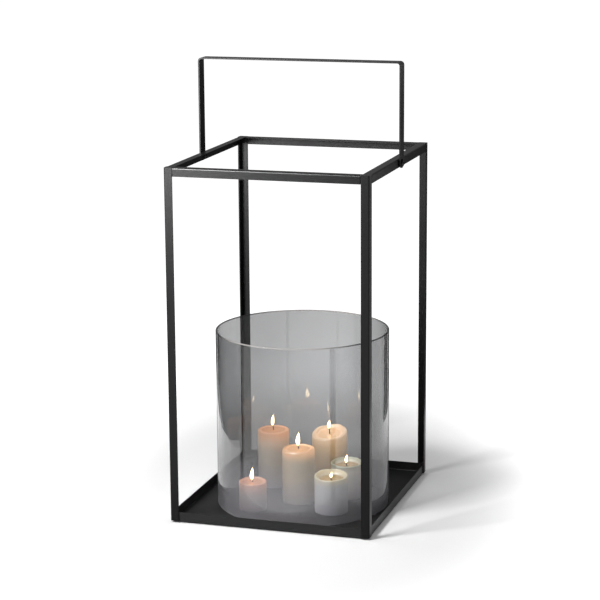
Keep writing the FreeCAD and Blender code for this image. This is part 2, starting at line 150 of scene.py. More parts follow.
# %% Finishes
class Finish:
    """One material, with a method for each way of adding to it."""

    def __init__(self, name, **constants):
        self.material = bpy.data.materials.new(name)
        self.material.use_nodes = True
        self.tree = self.material.node_tree
        self.shader = self.tree.nodes["Principled BSDF"]
        for socket, value in constants.items():
            self.put(socket.replace("_", " "), value)

    def feed(self, socket, value):
        if isinstance(value, Wire):
            self.tree.links.new(value.socket, socket)
        else:
            socket.default_value = value

    def put(self, socket, value):
        """Feeds one input of the Principled shader."""
        self.feed(self.shader.inputs[socket], value)

    def node(self, kind, settings=None, inputs=None, output=0):
        made = self.tree.nodes.new("ShaderNode" + kind)
        for setting, value in (settings or {}).items():
            if setting == "stops":
                self.fill_ramp(made.color_ramp, value)
            else:
                setattr(made, setting, value)
        for socket, value in (inputs or {}).items():
            self.feed(made.inputs[socket], value)
        return Wire(self, made.outputs[output])

    def fill_ramp(self, ramp, stops):
        while len(ramp.elements) < len(stops):
            ramp.elements.new(1.0)
        for element, (place, colour) in zip(ramp.elements, stops):
            element.position = place
            element.color = (*colour, 1.0)

    def maths(self, operation, first, second, clamp=False):
        return self.node("Math", {"operation": operation, "use_clamp": clamp}, {0: first, 1: second})

    def clamp(self, value):
        return self.maths("ADD", value, 0.0, clamp=True)

    def place(self):
        """The point on the piece, in metres, on its own axes."""
        return self.node("TexCoord", output="Object")

    def axes(self):
        """The three numbers of that point."""
        split = self.node("SeparateXYZ", {}, {0: self.place()}).socket.node
        return [Wire(self, outlet) for outlet in split.outputs]

    def cloud(self, size, detail=2.0, stretch=None):
        """Noise from 0 to 1 whose blobs are about this many metres wide."""
        where = self.place()
        if stretch is not None:
            where = self.node("VectorMath", {"operation": "MULTIPLY"}, {0: where, 1: stretch})
        return self.node("TexNoise", {}, {"Vector": where, "Scale": 1.0 / size, "Detail": detail})

    def blend(self, share, first, second):
        """A colour between two colours."""
        paint = [value if isinstance(value, Wire) else (*value, 1.0) for value in (first, second)]
        return self.node("Mix", {"data_type": "RGBA"}, {0: share, 6: paint[0], 7: paint[1]}, output=2)

    def ramp(self, share, stops):
        return self.node("ValToRGB", {"stops": stops}, {0: share})

    def smooth(self, value, start, end):
        """0 before start, 1 after end, with a soft step between."""
        return self.node("MapRange", {"interpolation_type": "SMOOTHSTEP"},
                         {"Value": value, "From Min": start, "From Max": end})

    def bump(self, height, depth, strength=1.0):
        """A rough surface: height is 0 to 1 and depth is in metres."""
        return self.node("Bump", {}, {"Height": height, "Distance": depth, "Strength": strength})

    def surface(self, shader):
        self.feed(self.tree.nodes["Material Output"].inputs["Surface"], shader)

    def mix_shaders(self, share, first, second):
        return self.node("MixShader", {}, {0: share, 1: first, 2: second})


def paint(thing, finish):
    """Gives every slot of a piece one material."""
    slots = thing.data.materials
    slots.clear()
    slots.append(finish.material)


print("materials can be written")

# %% [markdown]
# ## Powder coat
# Powder coat is baked plastic. It is satin, not matt: it mirrors the lamps softly. Up close it has two
# textures, a fine grain of single melted specks and a wider ripple that painters call orange peel.
# Both are bumps, and the grain changes the gloss a little too. The colour itself hardly varies.
# The tray's coat is a paler, more mirroring copy of the frame's, as painted light on the tray; the screws
# and nuts are blackened steel and the bushes are nylon. All of them are one recipe with other numbers, so
# it is written once.

# %% Black finishes
GRAIN_SIZE = 0.5 * MM
PEEL_SIZE = 2.2 * MM
DRIFT_SIZE = 90.0 * MM
COAT_RELIEF = 0.07 * MM
DUSTY_SHARE = 1.5


def powder_coat(name, colour, roughness, mirror=0.12):
    """A black finish: its colour, its mean roughness, and how strongly it mirrors straight on."""
    coat = Finish(name, Specular_IOR_Level=mirror)
    grain = coat.cloud(GRAIN_SIZE, detail=3.0)
    peel = coat.cloud(PEEL_SIZE)
    drift = coat.cloud(DRIFT_SIZE)
    dusty = [part * DUSTY_SHARE for part in colour]
    coat.put("Base Color", coat.blend(drift * 0.6 + grain * 0.4, colour, dusty))
    coat.put("Roughness", roughness - 0.05 + grain * 0.1)
    coat.put("Normal", coat.bump(grain * 0.35 + peel, COAT_RELIEF))
    return coat


frame_coat = powder_coat("powder_coat", (0.0034, 0.0034, 0.0036), 0.31)
black_oxide = powder_coat("black_oxide", (0.002, 0.002, 0.002), 0.25, mirror=0.16)
nylon = powder_coat("black_nylon", (0.004, 0.004, 0.004), 0.50, mirror=0.08)
# A paler copy of the frame's coat: painted light on the tray.
lit_tray_coat = powder_coat("powder_coat_tray_lit", (0.0075, 0.0075, 0.0078), 0.38, mirror=0.20)

PAINTED = ["post_front_left", "post_front_right", "post_back_left", "post_back_right",
           "top_rail_front", "top_rail_back", "top_rail_left", "top_rail_right",
           "handle_bail"]
coats = {node: frame_coat for node in PAINTED}
coats["base_tray"] = lit_tray_coat
for side in ("left", "right"):
    coats[f"pivot_screw_{side}"] = coats[f"pivot_nut_{side}"] = black_oxide
    coats[f"pivot_bush_{side}"] = nylon
for node, coat in coats.items():
    paint(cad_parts[node], coat)
print("painted pieces:", len(coats))

# %% [markdown]
# ## Turning and drawing out
# Most new pieces are round, so they are turned as on a lathe: half an outline is spun once round an
# upright axis. The ends of the outline on the axis meet in one point, so doubles are merged, and then
# the normals are turned outwards. The others are drawn out: a small ring is extruded from point to
# point along a path and scaled on its way.


# %% From a mesh to a piece
def finish_piece(shape, name, finish, body):
    """Turns a bmesh into a smooth piece that rides on a body."""
    mesh = bpy.data.meshes.new(name)
    for face in shape.faces:
        face.smooth = True
    shape.to_mesh(mesh)
    shape.free()
    thing = bpy.data.objects.new(name, mesh)
    bpy.context.scene.collection.objects.link(thing)
    paint(thing, finish)
    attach(thing, body)
    return thing


print("pieces can be finished")

# %% Lathe
MERGE_DISTANCE = 0.002 * MM


def turned(outline, steps=96, closed=False):
    """A bmesh spun from (radius, height) points round the Z axis."""
    shape = bmesh.new()
    points = [shape.verts.new((radius, 0.0, height)) for radius, height in outline]
    pairs = list(zip(points, points[1:]))
    if closed:
        pairs.append((points[-1], points[0]))
    edges = [shape.edges.new(pair) for pair in pairs]
    bmesh.ops.spin(shape, geom=points + edges, cent=(0, 0, 0), axis=(0, 0, 1),
                   angle=math.tau, steps=steps, use_merge=True)
    bmesh.ops.remove_doubles(shape, verts=shape.verts, dist=MERGE_DISTANCE)
    bmesh.ops.recalc_face_normals(shape, faces=shape.faces)
    return shape


print("points closer than this are merged, mm:", round(MERGE_DISTANCE / MM, 3))


# %% Extruder and round corners
def drawn_out(path, radii, segments=12):
    """A bmesh of rings along a path, closed at both ends."""
    shape = bmesh.new()
    bmesh.ops.create_circle(shape, cap_ends=True, radius=radii[0], segments=segments)
    bmesh.ops.translate(shape, verts=shape.verts, vec=path[0])
    end = shape.faces[:]
    for step in range(1, len(path)):
        end = bmesh.ops.extrude_discrete_faces(shape, faces=end)["faces"]
        grow = radii[step] / radii[step - 1]
        for vert in end[0].verts:
            vert.co = Vector(path[step]) + (vert.co - Vector(path[step - 1])) * grow
    bmesh.ops.recalc_face_normals(shape, faces=shape.faces)
    return shape


def add_to(whole, part):
    """Moves one bmesh into another, by way of a spare mesh."""
    spare = bpy.data.meshes.new("spare")
    part.to_mesh(spare)
    part.free()
    whole.from_mesh(spare)
    bpy.data.meshes.remove(spare)


def arc(middle, radius, start, end, steps):
    """Points of a round corner, by angle in degrees."""
    turns = [math.radians(start + (end - start) * step / steps) for step in range(steps + 1)]
    return [(middle[0] + radius * math.cos(turn), middle[1] + radius * math.sin(turn)) for turn in turns]


print("a quarter circle in two steps:", [[round(part, 3) for part in point]
                                        for point in arc((0.0, 0.0), 1.0, 0, 90, 2)])

# %% [markdown]
# ## Weld beads
# Where a rail meets a post, a short upright groove is left between the two and filled by welding. The
# weld pool freezes in ripples, like a stack of coins pushed over. A ring is drawn up the groove and
# made wider and narrower as it goes. One bead is made per groove, at the places that follow from the
# posts, and all eight are one piece, because they are the same work.

# %% Beads in the corner grooves
WELD_GROOVE = 1.2 * MM
WELD_DEPTH = 1.3 * MM
WELD_RECESS = 0.7 * MM
RIPPLES = 11
STEPS_PER_RIPPLE = 4
RIPPLE_SWELL = 0.10
# A bead is drawn one unit wide and thinner at its ends, and then squeezed to the groove.
BEAD_RADIUS = 0.5
BEAD_END_RADIUS = 0.34

# The front left post stands at the corner where x and y are lowest, so its low corner is the outer one.
post_low, post_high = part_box("post_front_left")
bead_low, bead_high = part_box("weld_beads")


def weld_bead():
    """One bead along Z, of full height and one unit wide."""
    steps = RIPPLES * STEPS_PER_RIPPLE
    heights = [step / steps for step in range(steps + 1)]
    path = [(0.0, 0.0, height * (bead_high.z - bead_low.z)) for height in heights]
    radii = [BEAD_RADIUS * (1.0 + RIPPLE_SWELL * math.cos(math.tau * RIPPLES * height))
             for height in heights]
    radii[0] = radii[-1] = BEAD_END_RADIUS
    return drawn_out(path, radii)


def add_weld_beads():
    """Two beads at each top corner: one on the long face of the frame, one on its side."""
    beads = bmesh.new()
    groove_x = -(post_high.x + WELD_GROOVE / 2)
    groove_y = -(post_high.y + WELD_GROOVE / 2)
    inward = WELD_RECESS + WELD_DEPTH / 2
    face_x, face_y = -post_low.x - inward, -post_low.y - inward
    for sign_x in (-1, 1):
        for sign_y in (-1, 1):
            on_long_face = (sign_x * groove_x, sign_y * face_y, bead_low.z)
            on_side_face = (sign_x * face_x, sign_y * groove_y, bead_low.z)
            for place, width, depth in ((on_long_face, WELD_GROOVE, WELD_DEPTH),
                                        (on_side_face, WELD_DEPTH, WELD_GROOVE)):
                bead = weld_bead()
                bmesh.ops.transform(bead, matrix=Matrix.Diagonal((width, depth, 1, 1)), verts=bead.verts)
                bmesh.ops.translate(bead, verts=bead.verts, vec=place)
                add_to(beads, bead)
    piece = finish_piece(beads, "weld_ripples", frame_coat, "frame")
    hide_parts("weld_beads")
    return piece


print("weld beads:", len(add_weld_beads().data.polygons), "faces")

# %% [markdown]
# ## Felt pads
# Four felt discs keep the tray off the floor. Felt is pressed wool: it bulges at the edge under the
# weight, and its surface is a tangle of fibres. The disc is turned with a round edge, and two sizes of
# noise make the fibres.


# %% Felt finish
FELT_DARK, FELT_PALE = (0.02, 0.02, 0.021), (0.10, 0.10, 0.10)
FIBRE_SIZE, TUFT_SIZE = 0.35 * MM, 2.5 * MM
FIBRE_RELIEF = 0.12 * MM


def felt_finish():
    """Wool fibres that lie across the pad, in tufts, with the soft sheen of cloth."""
    felt = Finish("felt", Specular_IOR_Level=0.1, Sheen_Weight=0.3)
    fibre = felt.cloud(FIBRE_SIZE, detail=4.0, stretch=(1.0, 3.0, 1.0))
    tuft = felt.cloud(TUFT_SIZE)
    felt.put("Base Color", felt.blend(fibre * 0.7 + tuft * 0.3, FELT_DARK, FELT_PALE))
    felt.put("Roughness", 0.95 - tuft * 0.1)
    felt.put("Normal", felt.bump(fibre, FIBRE_RELIEF))
    return felt


print("felt fibres, mm:", round(FIBRE_SIZE / MM, 2))

# %% Felt discs
PAD_RADIUS = 10.0 * MM


def add_felt_pads():
    """A disc with a round edge at each corner of the box that the CAD pads fill."""
    low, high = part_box("felt_pads")
    bulge = (high.z - low.z) / 2
    outline = [(0.0, low.z)] + arc((PAD_RADIUS - bulge, bulge), bulge, -90, 90, 6) + [(0.0, high.z)]
    pads = bmesh.new()
    for x in (low.x + PAD_RADIUS, high.x - PAD_RADIUS):
        for y in (low.y + PAD_RADIUS, high.y - PAD_RADIUS):
            disc = turned(outline, steps=40)
            bmesh.ops.translate(disc, verts=disc.verts, vec=(x, y, 0.0))
            add_to(pads, disc)
    piece = finish_piece(pads, "felt_discs", felt_finish(), "frame")
    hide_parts("felt_pads")
    return piece


print("felt pads:", len(add_felt_pads().data.polygons), "faces")

# %% [markdown]
# ## Smoked glass
# The cylinder is clear glass with a grey tint. Three things make it look like glass: it dims what is
# behind it, it mirrors what is in front, more towards its edges, and its rims are rounded in a flame.
# Lines are painted on the rims: a painted highlight in front, and painted shade at the sides and along
# the glass's side edges. Bending light in a thin even wall changes little, so the wall is a tinted clear
# film on both faces, with a mirror mixed in by the angle, which keeps the picture free of grain. The
# tint is deeper on the back wall, and darker on the left as painted shade. Low on the wall a pale film
# is a painted reflection of the floor.
# Each change over the wall is the factor of a mix between two shaders of one plain shade each.

# %% Glass finish
# A film's share of light by colour, first seen straight on and then at a slant.
NEAR_FILM = (0.900, 0.902, 0.905), (0.760, 0.763, 0.766)
FAR_FILM = (0.655, 0.657, 0.660), (0.500, 0.502, 0.504)
# How much more light passes at the right, and how much less at the left, where the darker tint is painted
# shade.
CLEARER, LEFT_PAINTED_SHADE = 1.03, 0.85
# The mirror's share straight on, and what the slant adds.
STRAIGHT_MIRROR, SLANTED_MIRROR = 0.040, 0.95
WAVE_SIZE, WAVE_RELIEF = 26.0 * MM, 0.25 * MM
# The painted line on the rim starts and is full at these depths under the top. Then how strong the
# painted lines on the rim and on the side edges are.
RIM_START, RIM_FULL = 2.2 * MM, 1.4 * MM
RIM_LINE, EDGE_LINE = 0.72, 0.50
# A painted highlight for the rim's front, and painted shade for its sides and the glass's side edges.
PAINTED_RIM_HIGHLIGHT, PAINTED_EDGE_SHADE = (0.42, 0.40, 0.39, 1.0), (0.03, 0.03, 0.032, 1.0)
FLOOR_REFLECTION_PAINT = (0.66, 0.645, 0.69, 1.0)
# The painted reflection of the floor fades between these heights. It covers the first share in front, and
# so much less behind.
FLOOR_REFLECTION_LOW, FLOOR_REFLECTION_HIGH = 5.0 * MM, 150.0 * MM
FLOOR_REFLECTION_SHARE, FLOOR_REFLECTION_LESS = 0.205, 0.14
PATCH_SIZE = 30.0 * MM
glass_low, glass_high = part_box("glass_cylinder")
glass_middle = (glass_low + glass_high) / 2
glass_radius = (glass_high.x - glass_low.x) / 2


def smoke_glass():
    """The tinted wall as a film on each of its two faces, with the mirror that grows towards the edge."""
    glass = Finish("smoke_glass")
    x, y, z = glass.axes()
    away = glass.node("LayerWeight", {}, {"Blend": 0.5}, output="Facing")
    slant = 1.0 - (1.0 - away) ** 1.6
    behind = glass.smooth(y, glass_middle.y - glass_radius, glass_middle.y + glass_radius)
    # The tint grows darker towards the left: painted shade.
    left_painted_shade = glass.smooth((glass_middle.x - x) / glass_radius, -0.6, 0.8)

    def tint(colour, share=1.0):
        shade = [part * share for part in colour]
        return glass.node("BsdfTransparent", {}, {"Color": (*shade, 1.0)})

    def film(straight, slanted):
        upright = glass.mix_shaders(left_painted_shade, tint(straight, CLEARER), tint(straight, LEFT_PAINTED_SHADE))
        return glass.mix_shaders(slant, upright, tint(slanted))

    front = film(*NEAR_FILM)
    back = film(*FAR_FILM)
    wavy = glass.bump(glass.cloud(WAVE_SIZE, detail=1.0), WAVE_RELIEF)
    mirror = glass.node("BsdfGlossy", {}, {"Color": (1, 1, 1, 1), "Roughness": 0.02, "Normal": wavy})
    wall = glass.mix_shaders(away ** 5.0 * SLANTED_MIRROR + STRAIGHT_MIRROR,
                             glass.mix_shaders(behind, front, back), mirror)
    # The rim and the side edges get painted lines: a painted highlight in front, painted shade at the
    # sides.
    rim = glass.smooth(z, glass_high.z - RIM_START, glass_high.z - RIM_FULL) * RIM_LINE
    sideways = glass.smooth(((x - glass_middle.x) / glass_radius) ** 2.0, 0.10, 0.75)
    painted_highlight = glass.node("BsdfDiffuse", {}, {"Color": PAINTED_RIM_HIGHLIGHT})
    painted_edge_shade = glass.node("BsdfDiffuse", {}, {"Color": PAINTED_EDGE_SHADE})
    painted_lines = glass.mix_shaders(sideways, painted_highlight, painted_edge_shade)
    edges = glass.maths("MAXIMUM", rim, glass.smooth(away, 0.82, 0.92) * EDGE_LINE)
    wall = glass.mix_shaders(edges, wall, painted_lines)
    # A pale film low on the wall: a painted reflection of the floor.
    painted_floor_reflection = glass.node("BsdfDiffuse", {}, {"Color": FLOOR_REFLECTION_PAINT})
    low_down = 1.0 - glass.smooth(z, FLOOR_REFLECTION_LOW, FLOOR_REFLECTION_HIGH)
    patches = glass.cloud(PATCH_SIZE) * 0.3 + 0.85
    cover = low_down * patches * (FLOOR_REFLECTION_SHARE - behind * FLOOR_REFLECTION_LESS)
    glass.surface(glass.mix_shaders(cover, wall, painted_floor_reflection))
    return glass


print("glass, mm across:", round(glass_radius * 2 / MM, 1))

# %% Glass shape
GLASS_WALL = 3.0 * MM
GLASS_EDGE = 1.3 * MM


def add_glass():
    """The wall's outline with four rounded edges, spun once round."""
    low, high = glass_low.z, glass_high.z
    outer, inner = glass_radius, glass_radius - GLASS_WALL
    outline = []
    corners = [(outer - GLASS_EDGE, low + GLASS_EDGE, 270), (outer - GLASS_EDGE, high - GLASS_EDGE, 0),
               (inner + GLASS_EDGE, high - GLASS_EDGE, 90), (inner + GLASS_EDGE, low + GLASS_EDGE, 180)]
    for across, height, start in corners:
        outline += arc((across, height), GLASS_EDGE, start, start + 90, 6)
    shape = turned(outline, steps=240, closed=True)
    bmesh.ops.translate(shape, verts=shape.verts, vec=(glass_middle.x, glass_middle.y, 0.0))
    piece = finish_piece(shape, "glass_smoked", smoke_glass(), "glass")
    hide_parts("glass_cylinder")
    return piece


print("glass:", len(add_glass().data.polygons), "faces")

# %% [markdown]
# ## Wax
# A candle that has burnt for hours isn't a cylinder any more. Its rim is thin, rounded and higher on
# one side, and inside it lies a pool of clear wax. Wax also lets light into itself, so the part near
# the flame glows from inside, warm at the top and greyer further down.
# The six candles are one recipe with six sets of numbers, so the numbers come first.

# %% What each candle is like
# rim: width of the rim. crest: rounding of the rim. pool: depth of the pool under the mean rim.
# tilt: half the rise of the rim across the candle, towards the direction `high`, in degrees.
# wave: size of the slow waves. All in millimetres.
CANDLES = {
    "back_left": dict(rim=3.2, crest=2.2, pool=1.0, tilt=0.4, high=60, wave=0.4, seed=3),
    "centre": dict(rim=5.0, crest=4.2, pool=1.2, tilt=1.0, high=10, wave=0.8, seed=7),
    "back_right": dict(rim=8.0, crest=3.0, pool=4.0, tilt=6.0, high=75, wave=2.0, seed=11),
    "right": dict(rim=3.2, crest=1.5, pool=8.5, tilt=1.5, high=100, wave=0.7, seed=19),
    "front_right": dict(rim=3.8, crest=1.8, pool=9.5, tilt=2.4, high=100, wave=1.0, seed=23),
    "front_left": dict(rim=2.8, crest=1.6, pool=1.8, tilt=1.0, high=110, wave=0.5, seed=31),
}
print("candles:", len(CANDLES))

# %% Wax colours
# Colours at the foot, darker as painted shade, in the body, at the top, warmer as painted flame light,
# and in the pool; the painted glow under the rim, and how deep it reaches (mm).
WAX = {
    "back_left": dict(foot=(0.50, 0.48, 0.51), body=(0.76, 0.66, 0.52), top=(0.76, 0.46, 0.28),
                      pool=(0.84, 0.46, 0.25), glow=(0.30, 0.11, 0.03), reach=44.0),
    "centre": dict(foot=(0.33, 0.29, 0.26), body=(0.68, 0.58, 0.43), top=(0.76, 0.55, 0.36),
                   pool=(0.86, 0.56, 0.34), glow=(0.37, 0.17, 0.06), reach=24.0),
    "back_right": dict(foot=(0.36, 0.30, 0.27), body=(0.56, 0.41, 0.25), top=(0.68, 0.51, 0.35),
                       pool=(0.74, 0.50, 0.30), glow=(0.21, 0.12, 0.05), reach=44.0),
    "right": dict(foot=(0.50, 0.47, 0.48), body=(0.74, 0.69, 0.63), top=(0.36, 0.40, 0.34),
                  pool=(0.36, 0.26, 0.14), glow=(0.08, 0.06, 0.02), reach=20.0),
    "front_right": dict(foot=(0.64, 0.64, 0.68), body=(0.78, 0.78, 0.79), top=(0.74, 0.71, 0.60),
                        pool=(0.50, 0.36, 0.15), glow=(0.17, 0.13, 0.03), reach=18.0),
    "front_left": dict(foot=(0.38, 0.33, 0.33), body=(0.62, 0.52, 0.48), top=(0.76, 0.52, 0.41),
                       pool=(0.84, 0.50, 0.36), glow=(0.30, 0.12, 0.06), reach=26.0),
}
print("deepest glow, mm:", max(colours["reach"] for colours in WAX.values()))

# %% [markdown]
# ## The finish of wax
# Wax scatters light under its skin, which the shader's subsurface part does over a few millimetres. The
# light of the flame goes much deeper. To trace it through the wax would make the picture grainy, so it
# is painted instead: a faint glow of the wax's own that fades with the depth under the rim. The colour
# runs from the foot to the rim with soft mottles, darker at the foot as painted shade and warmer at the
# top as painted flame light, and the liquid pool is darker and shinier.

# %% Wax finish
MOTTLE_SIZE = 14.0 * MM
RIPPLE_SIZE, WAX_RELIEF = 5.0 * MM, 0.25 * MM
# The heights, as shares of the candle's, at which the colours of foot, body and top are pure.
FOOT_AT, BODY_FROM, BODY_TO, TOP_AT = 0.0, 0.45, 0.80, 0.97
# The pool's colour starts at the second distance inside the rim and is full at the first. It comes in
# between these shares of the height, so that the foot keeps its own.
POOL_INSIDE, POOL_EDGE = 5.0 * MM, 0.5 * MM
POOL_FROM, POOL_FULL = 0.70, 0.80


def wax_finish(name, middle, radius, height, rim, foot, body, top, pool, glow, reach):
    """Wax darker towards its foot as painted shade, warmer at its top and glowing under its rim as
    painted flame light, and clear and darker in its pool.
    """
    wax = Finish(name, Specular_IOR_Level=0.45, Subsurface_Weight=0.12, Subsurface_Scale=0.004,
                 Emission_Strength=1.0)
    wax.put("Subsurface Radius", (1.0, 0.5, 0.3))
    x, y, z = wax.axes()
    level = (z - middle.z) / height
    mottle = wax.cloud(MOTTLE_SIZE, detail=3.0)
    level = level + (mottle - 0.5) * 0.06
    # The ramp is darker at the foot as painted shade and warmer at the top as painted flame light.
    solid = wax.ramp(level, [(FOOT_AT, foot), (BODY_FROM, body), (BODY_TO, body), (TOP_AT, top)])
    from_axis = wax.node("VectorMath", {"operation": "DISTANCE"},
                         {0: wax.node("CombineXYZ", {}, {0: x, 1: y}), 1: (middle.x, middle.y, 0.0)},
                         output="Value")
    inside = 1.0 - wax.smooth(from_axis, radius - rim - POOL_INSIDE, radius - rim - POOL_EDGE)
    liquid = inside * wax.smooth(level, POOL_FROM, POOL_FULL)
    wax.put("Base Color", wax.blend(liquid, solid, pool))
    depth = 1.0 - wax.smooth(height + middle.z - z, 0.0, reach * MM)
    warmth = depth * (0.75 + mottle * 0.5) * (1.0 - liquid * 0.4)
    wax.put("Emission Color", wax.blend(warmth, (0.0, 0.0, 0.0), glow))
    wax.put("Roughness", 0.38 + mottle * 0.2 - liquid * 0.3)
    wax.put("Normal", wax.bump(wax.cloud(RIPPLE_SIZE) + mottle, WAX_RELIEF, 0.5))
    return wax


print("wax can be mixed")

# %% [markdown]
# ## The shape of a used candle
# Each candle is turned from one outline: a foot, a wall with a few rings in it, a rounded rim, and a
# slope down to the pool. Then the points near the rim are moved up and down by a formula: a tilt, and
# slow waves that come from noise with a seed of its own for each candle. Sculpting by hand would give
# the same kind of shape, but a formula can be read and changed.

# %% Candle shape
FOOT_ROUND = 1.2 * MM
WALL_RINGS = 10
LIP_SHARE = 0.45
# From the lip to the pool: share of the inner radius, and share of the drop.
POOL_SLOPE = [(0.97, 0.55), (0.90, 0.85), (0.78, 0.96), (0.55, 1.0), (0.30, 1.0)]


def candle_outline(radius, height, rim, crest, pool):
    """Half an outline: foot, wall with a few rings, rounded rim, inner slope and pool."""
    foot, wall_top = FOOT_ROUND, height - crest
    points = [(0.0, 0.0)] + arc((radius - foot, foot), foot, -90, 0, 4)
    points += [(radius, foot + (wall_top - foot) * ring / WALL_RINGS) for ring in range(1, WALL_RINGS)]
    points += arc((radius - crest, wall_top), crest, 0, 90, 6)
    lip = min(crest, rim * LIP_SHARE)
    points += arc((radius - rim + lip, height - lip), lip, 90, 180, 5)
    inside = radius - rim
    floor = height - pool
    points += [(inside * share, height - lip - (height - lip - floor) * drop)
               for share, drop in POOL_SLOPE]
    return points + [(0.0, floor)]


print("rings in a candle's wall:", WALL_RINGS)

# %% Melted rim
# The foot keeps its shape up to this share of the height, and the pool inside this share of the radius
# moves less than the rim. The wall swells by this share.
MELT_FROM = 0.25
POOL_SHARE = 0.8
BULGE_SHARE = 0.006


def melt(shape, radius, height, tilt, high, wave, seed):
    """Moves the rim up and down round the candle; the foot stays where it is."""
    toward = math.radians(high)
    for vert in shape.verts:
        turn = math.atan2(vert.co.y, vert.co.x)
        out = math.hypot(vert.co.x, vert.co.y)
        share = max(0.0, vert.co.z / height - MELT_FROM) / (1.0 - MELT_FROM)
        slow = noise.noise(Vector((math.cos(turn) * 0.9, math.sin(turn) * 0.9, seed)))
        quick = noise.noise(Vector((math.cos(turn) * 2.6, math.sin(turn) * 2.6, seed + 5.0)))
        lift = tilt * math.cos(turn - toward) + wave * (1.4 * slow + 0.6 * quick)
        near_rim = min(1.0, out / (POOL_SHARE * radius))
        vert.co.z += share * lift * MM * near_rim ** 2
        bulge = noise.noise(Vector((turn * 0.8, vert.co.z * 25.0, seed + 9.0)))
        vert.co.x *= 1.0 + BULGE_SHARE * (bulge - 0.5)
        vert.co.y *= 1.0 + BULGE_SHARE * (bulge - 0.5)


print("share of a candle that keeps its shape:", MELT_FROM)

# %% [markdown]
# ## Six pillar candles
# Each candle stands where the CAD model has it and is as wide as it is there. The rim's mean height is
# the top of the CAD candle less the tilt and the waves, so the melted rim doesn't outgrow it. Where the
# pool lies is kept in a table, because the wick and the flame start from it.

# %% Build the candles
pool_heights = {}
candle_middles = {}
for name, look in CANDLES.items():
    node = f"candle_{name}"
    low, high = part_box(node)
    radius = (high.x - low.x) / 2
    middle = Vector(((low.x + high.x) / 2, (low.y + high.y) / 2, low.z))
    rise = (look["tilt"] + look["wave"]) * MM
    height = high.z - low.z - rise
    shape = turned(candle_outline(radius, height, look["rim"] * MM, look["crest"] * MM,
                                  look["pool"] * MM))
    melt(shape, radius, height, look["tilt"], look["high"], look["wave"], look["seed"])
    bmesh.ops.translate(shape, verts=shape.verts, vec=middle)
    wax = wax_finish(f"wax_{name}", middle, radius, height, look["rim"] * MM, **WAX[name])
    piece = finish_piece(shape, f"pillar_{name}", wax, node)
    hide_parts(node)
    pool_heights[name] = low.z + height - look["pool"] * MM
    candle_middles[name] = middle
    print(f"{node}: {len(piece.data.polygons)} faces, pool at {pool_heights[name] / MM:.1f} mm")

# %% [markdown]
# ## Wicks
# A wick is a cotton braid. Out of the wax it is burnt black, thinner and bent over, and its tip glows.
# A ring is drawn out along a short curve and gets thinner on the way, with a few knots from the braid.
# The ember at the tip is a glow that comes in by height.

# %% Wick finish
BRAID_SIZE, BRAID_RELIEF = 0.6 * MM, 0.2 * MM
EMBER_LENGTH = 1.6 * MM
EMBER_COLOUR = (0.55, 0.12, 0.02)


def wick_finish(tip):
    """Charred cotton with an ember at the tip, whose height is given."""
    char = Finish("burnt_wick", Specular_IOR_Level=0.2, Emission_Strength=1.0)
    z = char.axes()[2]
    twist = char.cloud(BRAID_SIZE, detail=3.0, stretch=(1.0, 1.0, 2.0))
    hot = char.smooth(z, tip - EMBER_LENGTH, tip)
    char.put("Base Color", char.blend(twist, (0.003, 0.002, 0.002), (0.03, 0.02, 0.015)))
    char.put("Emission Color", char.blend(hot, (0.0, 0.0, 0.0), EMBER_COLOUR))
    char.put("Roughness", 0.9 - twist * 0.2)
    char.put("Normal", char.bump(twist, BRAID_RELIEF))
    return char


print("ember, mm long:", round(EMBER_LENGTH / MM, 1))

# %% How each candle burns
# showing: length of wick out of the wax. lean: direction it bends to. Flame: its foot above the pool,
# its height and its width. All in millimetres and degrees.
FLAMES = {
    "back_left": dict(showing=8.5, lean=200, foot=6.0, height=22.5, width=4.8),
    "centre": dict(showing=6.0, lean=250, foot=3.5, height=27.0, width=6.4),
    "back_right": dict(showing=11.0, lean=230, foot=8.5, height=17.0, width=4.8),
    "right": dict(showing=8.0, lean=250, foot=5.5, height=17.0, width=4.0),
    "front_right": dict(showing=6.0, lean=280, foot=3.5, height=12.0, width=3.8),
    "front_left": dict(showing=5.0, lean=220, foot=1.5, height=25.5, width=6.0),
}
print("tallest flame, mm:", max(look["height"] for look in FLAMES.values()))

# %% Draw out the wicks
WICK_RADIUS = 1.1 * MM
WICK_BEND = 1.3 * MM
# How thick the free part is at each step up, as a share of the radius in the wax.
WICK_WAIST = (1.0, 0.92, 0.9, 0.86, 0.92, 0.85, 0.4)


def wick_line(name, look):
    """The middle line of a wick: straight in the wax, bent where it stands free."""
    middle, pool = candle_middles[name], pool_heights[name]
    lean = math.radians(look["lean"])
    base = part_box(f"wick_{name}")[0].z
    line = [Vector((middle.x, middle.y, base)), Vector((middle.x, middle.y, pool))]
    steps = len(WICK_WAIST)
    for step in range(1, steps + 1):
        along = step / steps
        side = WICK_BEND * along ** 2
        line.append(Vector((middle.x + side * math.cos(lean), middle.y + side * math.sin(lean),
                            pool + look["showing"] * MM * along)))
    return line


for name, look in FLAMES.items():
    line = wick_line(name, look)
    widths = [WICK_RADIUS * share for share in (1.0, 1.0, *WICK_WAIST)]
    wick = finish_piece(drawn_out(line, widths), f"burnt_wick_{name}", wick_finish(line[-1].z),
                        f"candle_{name}")
    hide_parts(f"wick_{name}")
print("wicks:", len(FLAMES))

# %% [markdown]
# ## Flames
# A flame is a drop of glowing gas: nearly clear at the foot, where it burns blue, yellow-white in the
# middle and orange at the tip. A drop is turned from a sine, bent a little by the draught, and lit by
# its own colour. Its foot is thin clear gas, so the drop fades in over its lowest third. A small lamp
# in each flame lights the wax and the glass, because a lamp makes less grain than a glowing mesh.


# %% Flame finish
FLAME_STRENGTH = 14.0
